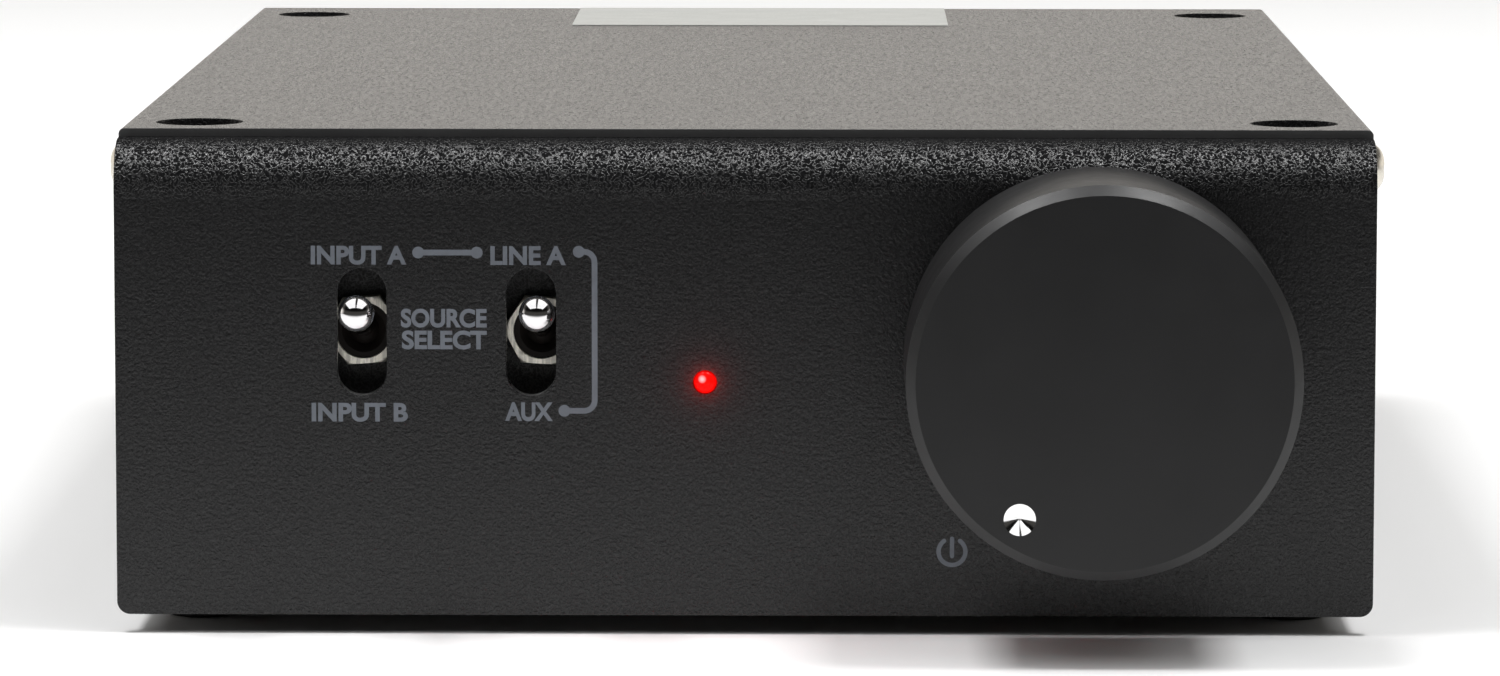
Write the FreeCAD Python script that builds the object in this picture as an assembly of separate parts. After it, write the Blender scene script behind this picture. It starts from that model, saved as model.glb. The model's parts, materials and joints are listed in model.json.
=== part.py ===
"""Desktop headphone amplifier: folded steel case, volume knob, two input toggles, boards and sockets.

Millimetres.  While it is built, y = 0 is the outside of the front panel and +Y runs to the rear;
the kept shapes are moved along Y so that the origin is under the middle of the whole object, on the
surface it stands on.  +X is to the right as the user faces the knob, +Z is up.
"""
import FreeCAD, Part
import math
import os

V = FreeCAD.Vector

# ---- driving dimensions -------------------------------------------------------------------------
case_width = 132.0
case_height = 50.8           # face's lower edge to the top of the cover
case_depth = 198.1           # face of the front panel to the face of the rear panel
face_gap = 2.0               # the face's lower edge stands this far above the table
foot_height = 2.4
foot_radius = 4.4
foot_inset_x = 7.84          # feet and stacking holes share one pattern
foot_inset_y = 14.18

panel_t = 1.5                # front panel sheet
panel_bend = 5.0             # outside radius of the big bend along the front's top edge
panel_corner = 1.4           # corners of the free lower edge
panel_flange_end = 21.0      # how far the top flange runs back under the cover
cover_t = 0.9
cover_front = 5.9            # the cover's front edge, behind the face
cover_rear = 196.8
cover_flange = 9.0           # height of the cover's side flanges
cover_bend = 0.6             # outside radius of its long edges
tray_t = 1.2
tray_bend = 2.0
rear_t = 1.2
rear_bend = 1.3
rear_flange = 19.5
side_gap = 0.1               # between the cover's flange and the tray's wall
stack_hole_radius = 4.65

knob_x = 36.8
knob_z = face_gap + 27.39
knob_radius = 20.2
knob_length = 22.3
knob_gap = 1.5               # knob to front panel
knob_chamfer = 1.0
pointer_radius = 16.3        # the dimple's distance from the knob's axis
pointer_angle = 31.7         # degrees left of straight down, when switched off
pointer_width = 3.3
pointer_depth = 1.0
shaft_radius = 3.0

toggle_z = face_gap + 29.75
toggle_x = (-40.1, -21.4)    # left and right switch
slot_x = (-40.1, -22.36)     # the right slot is a little left of its switch
slot_width = 5.2
slot_low = face_gap + 23.25
slot_high = face_gap + 36.65
nut_front = 3.0              # front of the switches' nuts, behind the face
nut_turns = (5.0, -3.0)      # how far the left and right nut happened to be tightened, degrees
pivot_y = 5.2                # where the levers pivot
lever_reach = 14.2           # pivot to the centre of the lever's ball
lever_tilt = 12.5            # degrees above level at rest
lever_ball = 1.88
toggle_names = ("left", "right")

lamp_x = -4.15
lamp_z = face_gap + 24.70
lamp_radius = 1.2

bracket_front = 5.2          # upright sheet that carries the switches and the potentiometer
bracket_t = 1.0
board_t = 1.6
control_board_front = 16.5
standoff_height = 6.0

socket_reach = 9.0           # the round sockets stand out this far behind the rear panel
coax_x = 14.0
line_in_x = (-4.0, -18.0)
jack_x = -42.0
jack_bore = 3.25
jack_depth = 34.0
jack_nose = 3.5
inlet_x = 46.5
digital_x = 30.0

# ---- worked out ---------------------------------------------------------------------------------
top = face_gap + case_height
under_cover = top - cover_t
half = case_width / 2
wall_outer = half - cover_t - side_gap
wall_inner = wall_outer - tray_t
floor_low = foot_height
floor_top = floor_low + tray_t
flange_half = wall_inner - 0.2
rear_inner = case_depth - rear_t
bracket_back = bracket_front + bracket_t
board_low = floor_top + standoff_height
board_top = board_low + board_t
knob_back = -knob_gap
knob_front = knob_back - knob_length
socket_z = board_top + 9.0
jack_z = board_top + 9.8
inlet_z = board_top + 6.6
digital_z = board_top + 5.9
middle_y = (knob_front + case_depth + socket_reach) / 2
foot_x = half - foot_inset_x
foot_y = (foot_inset_y, case_depth - foot_inset_y)

os.makedirs("parts", exist_ok=True)


# ---- helpers ------------------------------------------------------------------------------------
def keep(name, *shapes):
    """Write one node: one solid, or a group of separate equal ones."""
    shape = shapes[0] if len(shapes) == 1 else Part.makeCompound(list(shapes))
    shape = shape.copy()
    shape.translate(V(0, -middle_y, 0))
    shape.exportStep("parts/" + name + ".step")


def block(x0, x1, y0, y1, z0, z1):
    return Part.makeBox(x1 - x0, y1 - y0, z1 - z0, V(x0, y0, z0))


def rod(radius, start, end):
    direction = V(*end) - V(*start)
    return Part.makeCylinder(radius, direction.Length, V(*start), direction)


def rod_y(radius, x, z, y0, y1):
    return rod(radius, (x, y0, z), (x, y1, z))


def tube_y(outer, inner, x, z, y0, y1):
    return rod_y(outer, x, z, y0, y1).cut(rod_y(inner, x, z, y0 - 1, y1 + 1))


def rod_z(radius, x, y, z0, z1):
    return rod(radius, (x, y, z0), (x, y, z1))


def turned(profile, x, z):
    """Turn a closed outline of (radius, y) points about an axis along Y."""
    points = [V(x + r, y, z) for r, y in profile]
    face = Part.Face(Part.makePolygon(points + points[:1]))
    return face.revolve(V(x, 0, z), V(0, 1, 0), 360)


def prism_y(across_flats, x, z, y0, y1, turn=0.0):
    """Six-sided bar along Y."""
    reach = across_flats / math.sqrt(3)
    corners = []
    for step in range(6):
        angle = math.radians(60 * step + turn)
        corners.append(V(x + reach * math.cos(angle), y0, z + reach * math.sin(angle)))
    face = Part.Face(Part.makePolygon(corners + corners[:1]))
    return face.extrude(V(0, y1 - y0, 0))


def hex_nut(across_flats, bore, x, z, y0, y1, turn=0.0):
    """Hex nut with its front corners rounded off by a cone."""
    bar = prism_y(across_flats, x, z, y0, y1, turn)
    tip = across_flats / 2 + 0.05
    corner = across_flats / math.sqrt(3) + 0.1
    height = y1 - y0
    rise = (corner - tip) * 0.5
    envelope = turned([(0, y0), (tip, y0), (corner, y0 + rise), (corner, y0 + height), (0, y0 + height)],
                      x, z)
    return bar.common(envelope).cut(rod_y(bore, x, z, y0 - 1, y1 + 1))


def hex_nut_back(across_flats, bore, x, z, y0, y1):
    """Hex nut whose rounded side faces the rear."""
    nut = hex_nut(across_flats, bore, x, z, 0, y1 - y0)
    nut = nut.mirror(V(0, 0, 0), V(0, 1, 0))
    nut.translate(V(0, y1, 0))
    return nut


def obround(x, z0, z1, width, y0, y1):
    """Upright slot cutter through a sheet that faces Y."""
    r = width / 2
    body = block(x - r, x + r, y0, y1, z0 + r, z1 - r)
    return body.fuse([rod_y(r, x, z0 + r, y0, y1), rod_y(r, x, z1 - r, y0, y1)]).removeSplitter()


def pan_screw(head_radius, head_height, shank_radius, shank_length):
    """Pan-head screw with a cross recess, standing on its head's underside, shank down."""
    dome = 0.45 * head_height
    start = V(head_radius, 0, head_height - dome)
    over = V(head_radius * 0.72, 0, head_height - dome * 0.22)
    crown = V(0, 0, head_height)
    edges = [Part.LineSegment(V(0, 0, -shank_length), V(shank_radius, 0, -shank_length)),
             Part.LineSegment(V(shank_radius, 0, -shank_length), V(shank_radius, 0, 0)),
             Part.LineSegment(V(shank_radius, 0, 0), V(head_radius, 0, 0)),
             Part.LineSegment(V(head_radius, 0, 0), start),
             Part.Arc(start, over, crown),
             Part.LineSegment(crown, V(0, 0, -shank_length))]
    outline = Part.Wire([edge.toShape() for edge in edges])
    body = Part.Face(outline).revolve(V(0, 0, 0), V(0, 0, 1), 360)
    arm = head_radius * 0.52
    slit = head_radius * 0.13
    deep = head_height * 0.4
    cross = block(-arm, arm, -slit, slit, deep, head_height + 1)
    cross = cross.fuse(block(-slit, slit, -arm, arm, deep, head_height + 1))
    return body.cut(cross)


def placed(shape, point, direction):
    """Move a shape built along +Z so that its +Z points along direction, at point."""
    copy = shape.copy()
    copy.Placement = FreeCAD.Placement(V(*point), FreeCAD.Rotation(V(0, 0, 1), V(*direction)))
    return copy


def along_y(edge):
    box = edge.BoundBox
    return box.YLength > 5 and box.XLength < 0.01 and box.ZLength < 0.01


def folded_sheet(face_y, inward, thickness, radius, low, high, flange_end, width):
    """Upright sheet whose top edge bends over and runs level to flange_end; inward is +1 or -1."""
    inner = radius - thickness
    side = math.sqrt(0.5)
    centre_y = face_y + inward * radius
    centre_z = high - radius

    def at(y, z):
        return V(-width / 2, y, z)

    def on_bend(r):
        return at(centre_y - inward * r * side, centre_z + r * side)

    back_y = face_y + inward * thickness
    edges = [Part.LineSegment(at(face_y, low), at(face_y, centre_z)),
             Part.Arc(at(face_y, centre_z), on_bend(radius), at(centre_y, high)),
             Part.LineSegment(at(centre_y, high), at(flange_end, high)),
             Part.LineSegment(at(flange_end, high), at(flange_end, high - thickness)),
             Part.LineSegment(at(flange_end, high - thickness), at(centre_y, high - thickness)),
             Part.Arc(at(centre_y, high - thickness), on_bend(inner), at(back_y, centre_z)),
             Part.LineSegment(at(back_y, centre_z), at(back_y, low)),
             Part.LineSegment(at(back_y, low), at(face_y, low))]
    outline = Part.Wire([edge.toShape() for edge in edges])
    return Part.Face(outline).extrude(V(width, 0, 0))


def corner_cutters(radius, low, y0, y1):
    """What is left of the two lower corners outside their radius."""
    cutters = []
    for sign in (-1, 1):
        centre = sign * (half - radius)
        x0, x1 = sorted((centre, sign * (half + 1)))
        corner = block(x0, x1, y0, y1, low - 1, low + radius)
        cutters.append(corner.cut(rod_y(radius, centre, low + radius, y0 - 1, y1 + 1)))
    return cutters


# ---- case ---------------------------------------------------------------------------------------
stud_x = (-52.0, 0.0, 52.0)
stud_z = face_gap + 8.5
stud_radius = 1.5


def front_panel():
    panel = folded_sheet(0, 1, panel_t, panel_bend, face_gap, under_cover, panel_flange_end, case_width)
    notch_y = cover_front - 0.1
    for sign in (-1, 1):
        x0, x1 = sorted((sign * flange_half, sign * (half + 1)))
        panel = panel.cut(block(x0, x1, notch_y, panel_flange_end + 1, under_cover - 3, under_cover + 1))
        x0, x1 = sorted((sign * nut_relief, sign * (half + 1)))
        panel = panel.cut(block(x0, x1, cover_screw_y[0] - 3.1, panel_flange_end + 1,
                                under_cover - 3, under_cover + 1))
    for x in slot_x:
        panel = panel.cut(obround(x, slot_low, slot_high, slot_width, -1, panel_t + 1))
    panel = panel.cut(rod_y(lamp_radius + 0.05, lamp_x, lamp_z, -1, panel_t + 1))
    panel = panel.cut(rod_y(4.5, knob_x, knob_z, -1, panel_t + 1))
    for cutter in corner_cutters(panel_corner, face_gap, -1, panel_t + 1):
        panel = panel.cut(cutter)
    keep("front_panel", panel)
    studs = [rod_y(stud_radius, x, stud_z, panel_t, panel_t + 3.6) for x in stud_x]
    keep("panel_studs", *studs)
    lip_back = panel_t + tray_t
    nuts = [hex_nut(5.5, stud_radius + 0.03, x, stud_z, lip_back, lip_back + 2.4) for x in stud_x]
    keep("stud_nuts", *nuts)


cover_screw_y = (20.0, case_depth - 23.2)
nut_relief = 61.75           # the front flange is notched outside this, round the clinch nuts
cover_screw_z = top - 5.2
rear_screw_x = 58.5
rear_screw_z = (11.0, 43.0)
bracket_screw_x = (-46.0, 50.0)
bracket_screw_y = 12.0
standoff_spots = [(x, y) for x in (-54.0, 54.0) for y in (32.0, 110.0, 172.0)]


def chassis_tray():
    front = panel_t
    rear = rear_inner
    outer = block(-wall_outer, wall_outer, front, rear, floor_low, under_cover - 0.05)
    outer = outer.makeFillet(tray_bend,
                             [e for e in outer.Edges if along_y(e) and e.BoundBox.ZMax < floor_low + 0.1])
    inner = block(-wall_inner, wall_inner, front - 1, rear + 1, floor_top, top + 1)
    inner_radius = tray_bend - tray_t
    inner = inner.makeFillet(inner_radius,
                             [e for e in inner.Edges if along_y(e) and e.BoundBox.ZMax < floor_top + 0.1])
    tray = outer.cut(inner)
    # the walls' front corners stay under the front panel's bend
    under_bend = panel_bend - panel_t + 0.05
    step_z = under_cover - panel_t - 0.05
    corner = block(-half, half, front - 1, panel_bend, under_cover - panel_bend, top)
    corner = corner.cut(rod(under_bend - 0.1, (-half - 1, panel_bend, under_cover - panel_bend),
                            (half + 1, panel_bend, under_cover - panel_bend)))
    tray = tray.cut(corner)
    tray = tray.cut(block(-half, half, front - 1, cover_front, step_z, top))
    # front lip, behind the face, and rear tabs, in front of the rear panel
    lip = block(-60, 60, front, front + tray_t, floor_low + 0.6, stud_z + 5.0)
    tray = tray.fuse(lip)
    for sign in (-1, 1):
        x0, x1 = sorted((sign * 53.5, sign * (wall_inner + 0.3)))
        tray = tray.fuse(block(x0, x1, rear - tray_t, rear, 6.0, 48.0))
    tray = tray.removeSplitter()
    for x in stud_x:
        tray = tray.cut(rod_y(stud_radius + 0.15, x, stud_z, 0, front + tray_t + 1))
    for sign in (-1, 1):
        for y in cover_screw_y:
            start = (sign * (wall_inner - 1), y, cover_screw_z)
            tray = tray.cut(rod(1.9, start, (sign * (wall_outer + 1), y, cover_screw_z)))
        for z in rear_screw_z:
            tray = tray.cut(rod_y(1.55, sign * rear_screw_x, z, rear - 3, rear + 1))
    for x in bracket_screw_x:
        tray = tray.cut(rod_z(1.6, x, bracket_screw_y, floor_low - 1, floor_top + 1))
    for x, y in standoff_spots:
        tray = tray.cut(rod_z(2.1, x, y, floor_low - 1, floor_top + 1))
    for column in range(9):
        x = -36.0 + 9.0 * column
        for y in (62.0, 122.0):
            vent = block(x - 1.5, x + 1.5, y - 14, y + 14, floor_low - 1, floor_top + 1)
            ends = [rod_z(1.5, x, y + end, floor_low - 1, floor_top + 1) for end in (-14, 14)]
            tray = tray.cut(vent.fuse(ends))
    keep("chassis_tray", tray)


def clinch_nuts():
    nuts = []
    for sign in (-1, 1):
        for y in cover_screw_y:
            start = (sign * wall_inner, y, cover_screw_z)
            end = (sign * (wall_inner - 1.9), y, cover_screw_z)
            pilot = (sign * wall_outer, y, cover_screw_z)
            nut = rod(2.95, start, end).fuse(rod(1.88, start, pilot)).removeSplitter()
            beyond = (sign * (wall_outer + 1), y, cover_screw_z)
            nuts.append(nut.cut(rod(1.53, (sign * (wall_inner - 3), y, cover_screw_z), beyond)))
    keep("clinch_nuts", *nuts)


def top_cover():
    lid = block(-half, half, cover_front, cover_rear, top - cover_flange, top)
    lid = lid.makeFillet(cover_bend, [e for e in lid.Edges if along_y(e) and e.BoundBox.ZMin > top - 0.1])
    inside = block(-half + cover_t, half - cover_t, cover_front - 1, cover_rear + 1, 0, under_cover)
    inside = inside.makeFillet(0.2, [e for e in inside.Edges
                                     if along_y(e) and e.BoundBox.ZMin > under_cover - 0.1])
    lid = lid.cut(inside)
    for sign in (-1, 1):
        for y in foot_y:
            lid = lid.cut(rod_z(stack_hole_radius, sign * foot_x, y, under_cover - 1, top + 1))
        for y in cover_screw_y:
            start = (sign * (half - 3), y, cover_screw_z)
            lid = lid.cut(rod(1.7, start, (sign * (half + 1), y, cover_screw_z)))
    keep("top_cover", lid)
    screw = pan_screw(2.6, 2.1, 1.5, 5.0)
    screws = []
    for sign in (-1, 1):
        for y in cover_screw_y:
            screws.append(placed(screw, (sign * half, y, cover_screw_z), (sign, 0, 0)))
    keep("cover_screws", *screws)
    keep("cover_label", block(-23.9, 23.9, cover_rear - 32.9, cover_rear, top, top + 0.08))


def rear_panel():
    panel = folded_sheet(case_depth, -1, rear_t, rear_bend, face_gap + 0.2, under_cover,
                         case_depth - rear_flange, case_width - 0.4)
    notch = cover_rear + 0.1
    for sign in (-1, 1):
        x0, x1 = sorted((sign * flange_half, sign * (half + 1)))
        panel = panel.cut(block(x0, x1, case_depth - rear_flange - 1, notch,
                                under_cover - 3, under_cover + 1))
    back, front = case_depth + 1, rear_inner - 1
    for x in line_in_x + (coax_x,):
        panel = panel.cut(rod_y(4.6, x, socket_z, front, back))
    panel = panel.cut(rod_y(4.85, jack_x, jack_z, front, back))
    panel = panel.cut(rod_y(4.2, inlet_x, inlet_z, front, back))
    panel = panel.cut(block(digital_x - 6.2, digital_x + 6.2, front, back, digital_z - 5.6, digital_z + 5.6))
    for sign in (-1, 1):
        for z in rear_screw_z:
            panel = panel.cut(rod_y(1.7, sign * rear_screw_x, z, front, back))
    keep("rear_panel", panel)
    screw = pan_screw(2.75, 1.9, 1.5, 4.0)
    screws = []
    for sign in (-1, 1):
        for z in rear_screw_z:
            screws.append(placed(screw, (sign * rear_screw_x, case_depth, z), (0, 1, 0)))
    keep("rear_screws", *screws)


def rubber_feet():
    feet = []
    for sign in (-1, 1):
        for y in foot_y:
            foot = Part.makeCone(foot_radius - 0.7, foot_radius, foot_height, V(sign * foot_x, y, 0))
            feet.append(foot.makeFillet(0.5, [e for e in foot.Edges if e.BoundBox.ZMax < 0.1]))
    keep("rubber_feet", *feet)


# ---- boards and their fixings -------------------------------------------------------------------
board_edge = 59.0
board_front = 24.0
board_rear = rear_inner - 3.0
control_left = -50.0
control_right = 58.0
control_low = 15.0
control_high = 46.0
switch_front = bracket_back
switch_back = 15.0
bushing_radius = 2.92
cavity_radius = 3.0
cavity_back = 11.0
pivot_ball = 1.75
pivot_seat = pivot_ball + 0.05


def standoffs():
    pillars = []
    for x, y in standoff_spots:
        pillar = rod_z(2.75, x, y, floor_top, board_low).fuse(rod_z(2.05, x, y, floor_low, floor_top))
        pillars.append(pillar.removeSplitter().cut(rod_z(1.53, x, y, floor_low + 1.0, board_low + 1)))
    keep("standoffs", *pillars)
    screw = pan_screw(2.75, 1.9, 1.5, 5.0)
    screws = [placed(screw, (x, y, board_top), (0, 0, 1)) for x, y in standoff_spots]
    keep("board_screws", *screws)


def main_board():
    board = block(-board_edge, board_edge, board_front, board_rear, board_low, board_top)
    for x, y in standoff_spots:
        board = board.cut(rod_z(1.65, x, y, board_low - 1, board_top + 1))
    keep("main_board", board)


def control_bracket():
    upright = block(-55, 60, bracket_front, bracket_back, floor_top, 47.0)
    foot = block(-55, 60, bracket_front, 20.0, floor_top, floor_top + bracket_t)
    bracket = upright.fuse(foot).removeSplitter()
    for x in toggle_x:
        bracket = bracket.cut(rod_y(bushing_radius + 0.1, x, toggle_z, 0, bracket_back + 1))
    bracket = bracket.cut(rod_y(3.6, knob_x, knob_z, 0, bracket_back + 1))
    bracket = bracket.cut(rod_y(2.0, lamp_x, lamp_z, 0, bracket_back + 1))
    for x in bracket_screw_x:
        bracket = bracket.cut(rod_z(1.55, x, bracket_screw_y, floor_low, floor_top + bracket_t + 1))
    keep("control_bracket", bracket)
    screw = pan_screw(2.75, 1.6, 1.5, 4.5)
    screws = [placed(screw, (x, bracket_screw_y, floor_low), (0, 0, -1)) for x in bracket_screw_x]
    keep("bracket_screws", *screws)


# ---- input switches -----------------------------------------------------------------------------
def lever(x):
    """Ball-ended lever along -Y from its pivot, then tilted up by its rest angle."""
    neck = 0.95
    shoulder = 1.15
    tail = 4.2
    ball_y = -lever_reach
    core = turned([(0, tail), (0.7, tail), (neck, 1.2), (neck, -2.2), (shoulder, -4.0),
                   (lever_ball * 0.96, ball_y + 0.5), (lever_ball * 0.96, ball_y), (0, ball_y)], 0, 0)
    ball = Part.makeSphere(lever_ball, V(0, ball_y, 0))
    pivot = Part.makeSphere(pivot_ball, V(0, 0, 0))
    stick = core.fuse([ball, pivot]).removeSplitter()
    turn = FreeCAD.Rotation(V(1, 0, 0), -lever_tilt)
    stick.Placement = FreeCAD.Placement(V(x, pivot_y, toggle_z), turn)
    return stick


def bushing(x):
    """Threaded bushing: a spherical seat for the lever's pivot, flared towards the front."""
    front = nut_front + 0.25
    waist = pivot_y - 0.9
    body = rod_y(bushing_radius, x, toggle_z, front, switch_front)
    body = body.cut(Part.makeSphere(pivot_seat, V(x, pivot_y, toggle_z)))
    flare = turned([(0, front - 0.5), (2.45, front - 0.5), (2.3, front), (1.55, waist), (1.55, pivot_y),
                    (0, pivot_y)], x, toggle_z)
    tail_room = turned([(0, pivot_y), (1.6, pivot_y), (2.2, switch_front + 1), (0, switch_front + 1)],
                       x, toggle_z)
    return body.cut(flare).cut(tail_room)


def switch_body(x):
    case = block(x - 3.6, x + 3.6, switch_front, switch_back, toggle_z - 6.4, toggle_z + 6.4)
    case = case.makeFillet(0.4, [e for e in case.Edges if along_y(e)])
    return case.cut(rod_y(cavity_radius, x, toggle_z, switch_front - 1, cavity_back))


def input_switches():
    washers = []
    terminals = []
    for name, x, turn in zip(toggle_names, toggle_x, nut_turns):
        keep("toggle_lever_" + name, lever(x))
        keep("switch_bushing_" + name, bushing(x))
        keep("hex_nut_" + name, hex_nut(7.0, bushing_radius + 0.03, x, toggle_z, nut_front, 4.8, turn))
        keep("switch_body_" + name, switch_body(x))
        washers.append(tube_y(3.7, bushing_radius + 0.1, x, toggle_z, 4.8, bracket_front))
        for rise in (-4.0, 0.0, 4.0):
            z = toggle_z + rise
            terminals.append(block(x - 0.6, x + 0.6, switch_back, control_board_front + board_t + 1.2,
                                   z - 0.3, z + 0.3))
    washers.append(tube_y(5.6, 3.6, knob_x, knob_z, 4.7, bracket_front))
    keep("lock_washers", *washers)
    keep("switch_terminals", *terminals)


# ---- volume control -----------------------------------------------------------------------------
pot_half = 8.5
pot_plate_back = bracket_back + 1.0
pot_body_back = 12.0
pot_switch_back = 15.8
pot_pin_x = (-5.0, 0.0, 5.0)
shaft_front = knob_front + 8.0
shaft_clearance = 0.04


def knob():
    back, front = knob_back, knob_front
    body = turned([(0, back), (knob_radius - 0.3, back), (knob_radius, back - 0.3),
                   (knob_radius, front + knob_chamfer), (knob_radius - knob_chamfer, front), (0, front)],
                  knob_x, knob_z)
    body = body.cut(rod_y(8.0, knob_x, knob_z, back - 4.0, back + 1))
    body = body.cut(rod_y(shaft_radius + 0.02, knob_x, knob_z, shaft_front, back + 1))
    angle = math.radians(pointer_angle)
    away = V(-math.sin(angle), 0, -math.cos(angle))
    spot = V(knob_x, 0, knob_z) + away * pointer_radius
    dimple = Part.makeCone(pointer_width / 2, 0.2, pointer_depth, V(spot.x, front, spot.z), V(0, 1, 0))
    body = body.cut(dimple)
    middle = V(knob_x, back - 9.0, knob_z)
    body = body.cut(Part.makeCylinder(2.1, knob_radius + 1, middle, away))
    keep("volume_knob", body)
    screw_start = middle + away * (shaft_radius - 0.4)
    screw = Part.makeCylinder(2.05, 6.0, screw_start, away)
    socket_start = middle + away * (shaft_radius + 3.4)
    socket = Part.makeCylinder(1.0, 4.0, socket_start, away)
    keep("knob_set_screw", screw.cut(socket))
    shaft = rod_y(shaft_radius, knob_x, knob_z, shaft_front + 0.5, pot_plate_back - 0.3)
    rotor = rod_y(5.5, knob_x, knob_z, pot_plate_back + 0.3, pot_plate_back + 2.0)
    hub = rod_y(shaft_radius - 0.6, knob_x, knob_z, pot_plate_back - 0.4, pot_body_back - 0.8)
    seat = Part.makeCylinder(2.3, 3.0, middle + away * (shaft_radius - 0.4), away)
    keep("pot_shaft", shaft.fuse([rotor, hub]).removeSplitter().cut(seat))


def potentiometer():
    x, z = knob_x, knob_z
    plate = block(x - pot_half, x + pot_half, bracket_back, pot_plate_back, z - pot_half, z + pot_half)
    plate = plate.fuse(rod_y(3.5, x, z, 1.0, bracket_back)).removeSplitter()
    plate = plate.cut(rod_y(shaft_radius + shaft_clearance, x, z, 0, pot_plate_back + 1))
    keep("pot_bushing", plate)
    keep("pot_nut", hex_nut(10.0, 3.55, x, z, 2.4, 4.7))
    body = block(x - pot_half, x + pot_half, pot_plate_back, pot_body_back, z - pot_half, z + pot_half)
    keep("pot_body", body.cut(rod_y(6.2, x, z, pot_plate_back - 1, pot_body_back - 0.5)))
    section = block(x - pot_half + 0.5, x + pot_half - 0.5, pot_body_back, pot_switch_back,
                    z - pot_half + 0.5, z + pot_half - 0.5)
    keep("power_switch", section)
    pins = []
    for shift in pot_pin_x:
        for rise in (-10.5, 10.5):
            inner = z + math.copysign(pot_half, rise)
            low, high = sorted((inner, z + rise))
            pin = block(x + shift - 0.5, x + shift + 0.5, 9.0, 9.5, low, high)
            low, high = sorted((z + rise, z + rise + 0.5))
            leg = block(x + shift - 0.5, x + shift + 0.5, 9.0, control_board_front + board_t + 1.0, low, high)
            pins.append(pin.fuse(leg).removeSplitter())
    keep("pot_terminals", *pins)


# ---- control board and indicator ----------------------------------------------------------------
header_x = 6.0
header_half = 12.0


def control_board():
    back = control_board_front + board_t
    board = block(control_left, control_right, control_board_front, back, control_low, control_high)
    for x in toggle_x:
        for rise in (-4.0, 0.0, 4.0):
            board = board.cut(rod_y(0.75, x, toggle_z + rise, control_board_front - 1, back + 1))
    for shift in pot_pin_x:
        for rise in (-10.25, 10.75):
            board = board.cut(rod_y(0.75, knob_x + shift, knob_z + rise, control_board_front - 1, back + 1))
    keep("control_board", board)


def indicator():
    x, z = lamp_x, lamp_z
    pipe = turned([(0, -0.35), (0.55, -0.28), (0.95, -0.1), (lamp_radius, 0.15), (lamp_radius, 1.6),
                   (1.7, 1.6), (1.7, 9.4), (0, 9.4)], x, z)
    keep("light_pipe", pipe)
    lamp = turned([(0, 9.9), (1.0, 10.2), (1.5, 11.2), (1.5, 14.2), (1.9, 14.2), (1.9, 15.2), (0, 15.2)],
                  x, z)
    keep("power_lamp", lamp)


def ribbon():
    """Flat cable: back from the control board, down in a quarter turn, on to the main board's header."""
    left, right = header_x - header_half + 1.0, header_x + header_half - 1.0
    board_back = control_board_front + board_t
    low, high = header_x - header_half, header_x + header_half
    front_header = block(low, high, board_back, board_back + 6.0, 22.0, 27.0)
    rear_header = block(low, high, 32.0, 37.0, board_top, board_top + 6.0)
    keep("board_headers", front_header, rear_header)
    thick = 0.9
    level = 24.9
    start = board_back + 6.0
    bend = 4.0
    end_y = 34.95
    straight = block(left, right, start, end_y - bend, level - thick, level)
    drop = block(left, right, end_y - thick, end_y, board_top + 6.0, level - bend)
    centre = (left, end_y - bend, level - bend)
    outer = rod(bend, centre, (right, centre[1], centre[2]))
    inner = rod(bend - thick, (left - 1, centre[1], centre[2]), (right + 1, centre[1], centre[2]))
    quarter = outer.cut(inner).common(block(left, right, end_y - bend, end_y + 1, level - bend, level + 1))
    keep("ribbon_cable", straight.fuse([quarter, drop]).removeSplitter())


# ---- rear sockets -------------------------------------------------------------------------------
def round_socket(x):
    """Barrel of a round coaxial socket: a collar behind the panel and a plain sleeve outside it."""
    back = case_depth + socket_reach
    return turned([(3.3, rear_inner - 2.0), (5.0, rear_inner - 2.0), (5.0, rear_inner), (4.45, rear_inner),
                   (4.45, case_depth + 0.4), (4.15, case_depth + 0.7), (4.15, back - 0.3), (3.85, back),
                   (3.3, back)], x, socket_z)


def round_insulator(x):
    body = rod_y(3.27, x, socket_z, rear_inner - 2.0, case_depth + 7.6)
    return body.cut(rod_y(1.6, x, socket_z, case_depth - 6, case_depth + 10))


def round_block(x0, x1):
    depth = 10.0
    back = rear_inner - 2.0
    return block(x0, x1, back - depth, back, board_top, socket_z + 6.0)


def rear_sockets():
    keep("coax_barrel", round_socket(coax_x))
    keep("coax_insulator", round_insulator(coax_x))
    keep("line_in_barrels", *[round_socket(x) for x in line_in_x])
    for name, x in zip(("right", "left"), line_in_x):
        keep("line_in_insulator_" + name, round_insulator(x))
    low, high = min(line_in_x), max(line_in_x)
    keep("socket_blocks", round_block(coax_x - 6.5, coax_x + 6.5), round_block(low - 6.5, high + 6.5))


def headphone_jack():
    x, z = jack_x, jack_z
    mouth = case_depth + jack_nose
    end = mouth - jack_depth
    body = block(x - 8.5, x + 8.5, end - 2.0, rear_inner - 0.6, board_top, z + 8.5)
    body = body.fuse(rod_y(4.75, x, z, rear_inner - 0.6, mouth)).removeSplitter()
    body = body.cut(rod_y(jack_bore, x, z, end, mouth + 1))
    for y in (end + 3.0, end + 9.0):
        body = body.cut(block(x - 0.9, x + 0.9, y, y + 3.0, z, z + 9.0))
    keep("headphone_jack", body)
    springs = []
    for y in (end + 3.0, end + 9.0):
        springs.append(block(x - 0.6, x + 0.6, y + 0.5, y + 2.5, z + jack_bore + 0.1, z + 8.0))
    keep("jack_contacts", *springs)
    keep("jack_nut", hex_nut_back(13.0, 4.78, x, z, case_depth + 0.5, case_depth + 2.7))
    keep("jack_washer", tube_y(7.6, 4.85, x, z, case_depth, case_depth + 0.5))


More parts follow.
